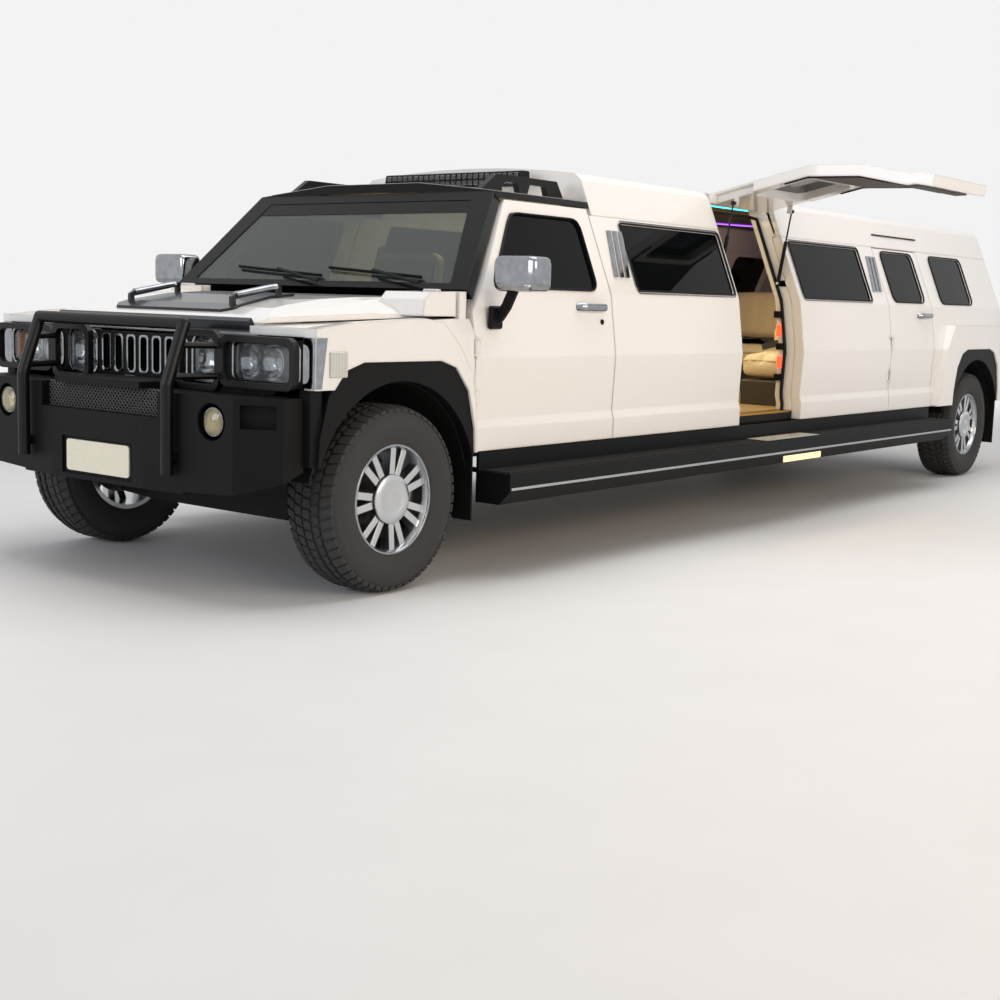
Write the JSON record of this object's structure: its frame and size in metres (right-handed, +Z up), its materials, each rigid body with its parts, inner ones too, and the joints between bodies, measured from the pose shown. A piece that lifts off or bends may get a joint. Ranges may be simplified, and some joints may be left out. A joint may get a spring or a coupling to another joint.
{
  "type": "stretch limousine",
  "caption": "White stretched off-road wagon with a raised passenger cabin, gull-wing side door, hinged doors, bull bar, roof light bar and steered road wheels.",
  "frame": {"origin": "on the ground midway between the axles and midway between the wheels", "axes": "+X forward, +Y to the car's left, +Z up"},
  "size_m": [7.97, 3.2639, 1.9743],
  "materials": {
    "white_paint": "gloss white car paint",
    "black_paint": "satin black paint",
    "chassis_black": "black chassis paint",
    "cast_metal": "raw casting",
    "black_plastic": "grained black moulding",
    "dark_glass": "dark tinted glass",
    "lamp_glass": "clear lamp glass",
    "red_lens": "red lamp lens",
    "alloy": "polished alloy",
    "tyre_rubber": "road tyre",
    "chrome": "chrome plate",
    "plate_paint": "blank cream plate",
    "rubber": "moulded rubber",
    "carpet": "tan carpet",
    "leather": "cream leather",
    "veneer": "lacquered veneer"
  },
  "bodies": {
    "car_body": {"ladder_frame": "chassis_black", "engine_block": "cast_metal", "front_suspension": "chassis_black", "rear_axle": "cast_metal", "floor_pan": "carpet", "front_bulkhead": "black_plastic", "front_wings": "white_paint", "arch_trims": "black_plastic", "front_bumper": "black_plastic", "number_plate": "plate_paint", "bull_bar": "black_paint", "grille": "black_plastic", "chrome_trim": "chrome", "headlamps": "lamp_glass", "cab_frame": "black_paint", "windscreen": "dark_glass", "left_side": "white_paint", "right_side": "white_paint", "side_windows": "dark_glass", "raised_roof": "white_paint", "rear_body": "white_paint", "rear_bumper": "black_plastic", "tail_lamps": "red_lens", "running_boards": "black_plastic", "mud_flaps": "rubber", "roof_rack": "black_paint", "light_bar": "black_paint", "dashboard": "black_plastic", "seats": "leather", "bar_cabinet": "veneer"},
    "left_knuckle": {"left_knuckle": "cast_metal"},
    "right_knuckle": {"right_knuckle": "cast_metal"},
    "front_left_wheel": {"front_left_rim": "alloy", "front_left_tyre": "tyre_rubber"},
    "front_right_wheel": {"front_right_rim": "alloy", "front_right_tyre": "tyre_rubber"},
    "rear_left_wheel": {"rear_left_rim": "alloy", "rear_left_tyre": "tyre_rubber"},
    "rear_right_wheel": {"rear_right_rim": "alloy", "rear_right_tyre": "tyre_rubber"},
    "left_front_door": {"left_front_door": "white_paint", "left_front_glass": "dark_glass", "left_front_chrome": "chrome"},
    "right_front_door": {"right_front_door": "white_paint", "right_front_glass": "dark_glass", "right_front_chrome": "chrome"},
    "left_rear_door": {"left_rear_door": "white_paint", "left_rear_glass": "dark_glass", "left_rear_handle": "chrome"},
    "right_rear_door": {"right_rear_door": "white_paint", "right_rear_glass": "dark_glass", "right_rear_handle": "chrome"},
    "jet_door": {"jet_door": "white_paint", "jet_glass": "dark_glass"},
    "strut_tubes": {"strut_tubes": "black_paint"},
    "strut_rods": {"strut_rods": "chrome"},
    "bonnet": {"bonnet": "white_paint", "bonnet_insert": "black_plastic"},
    "tailgate": {"tailgate": "white_paint", "tailgate_glass": "dark_glass"}
  },
  "joints": [
    {"name": "steer_left", "type": "hinge", "parent": "car_body", "child": "left_knuckle", "pos_m": [3.2, 0.735, 0.388], "axis": [0, 0, 1], "range_deg": [-33, 33]},
    {"name": "steer_right", "type": "hinge", "parent": "car_body", "child": "right_knuckle", "pos_m": [3.2, -0.735, 0.388], "axis": [0, 0, 1], "range_deg": [-33, 33]},
    {"name": "front_left_wheel_spin", "type": "hinge", "parent": "left_knuckle", "child": "front_left_wheel", "pos_m": [3.2, 0.855, 0.388], "axis": [0, 1, 0], "continuous": true},
    {"name": "front_right_wheel_spin", "type": "hinge", "parent": "right_knuckle", "child": "front_right_wheel", "pos_m": [3.2, -0.855, 0.388], "axis": [0, 1, 0], "continuous": true},
    {"name": "rear_left_wheel_spin", "type": "hinge", "parent": "car_body", "child": "rear_left_wheel", "pos_m": [-3.2, 0.855, 0.388], "axis": [0, 1, 0], "continuous": true},
    {"name": "rear_right_wheel_spin", "type": "hinge", "parent": "car_body", "child": "rear_right_wheel", "pos_m": [-3.2, -0.855, 0.388], "axis": [0, 1, 0], "continuous": true},
    {"name": "left_front_door_hinge", "type": "hinge", "parent": "car_body", "child": "left_front_door", "pos_m": [2.713, 0.985, 0.88], "axis": [0, 0, -1], "range_deg": [0, 65]},
    {"name": "right_front_door_hinge", "type": "hinge", "parent": "car_body", "child": "right_front_door", "pos_m": [2.713, -0.985, 0.88], "axis": [0, 0, 1], "range_deg": [0, 65]},
    {"name": "left_rear_door_hinge", "type": "hinge", "parent": "car_body", "child": "left_rear_door", "pos_m": [-1.697, 0.985, 0.88], "axis": [0, 0, -1], "range_deg": [0, 65]},
    {"name": "right_rear_door_hinge", "type": "hinge", "parent": "car_body", "child": "right_rear_door", "pos_m": [-1.697, -0.985, 0.88], "axis": [0, 0, 1], "range_deg": [0, 65]},
    {"name": "jet_door_hinge", "type": "hinge", "parent": "car_body", "child": "jet_door", "pos_m": [-0.025, 0.712, 1.836], "axis": [1, 0, 0], "range_deg": [-81, 0]},
    {"name": "strut_swing", "type": "hinge", "parent": "car_body", "child": "strut_tubes", "pos_m": [-0.025, 0.8, 1.36], "axis": [1, 0, 0], "range_deg": [0, 29.51]},
    {"name": "strut_slide", "type": "slide", "parent": "strut_tubes", "child": "strut_rods", "axis": [0, 0.1532, 0.9882], "range_m": [-0.0916, 0]},
    {"name": "bonnet_hinge", "type": "hinge", "parent": "car_body", "child": "bonnet", "pos_m": [2.796, 0, 1.242], "axis": [0, -1, 0], "range_deg": [0, 50]},
    {"name": "tailgate_hinge", "type": "hinge", "parent": "car_body", "child": "tailgate", "pos_m": [-3.81, 0.637, 1.01], "axis": [0, 0, -1], "range_deg": [0, 95]}
  ],
  "couplings": [
    {"joint": "steer_right", "follows": "steer_left", "ratio": 1},
    {"joint": "strut_swing", "follows": "jet_door_hinge", "ratio": -0.35939},
    {"joint": "strut_slide", "follows": "jet_door_hinge", "m_per_rad": 0.06408}
  ]
}
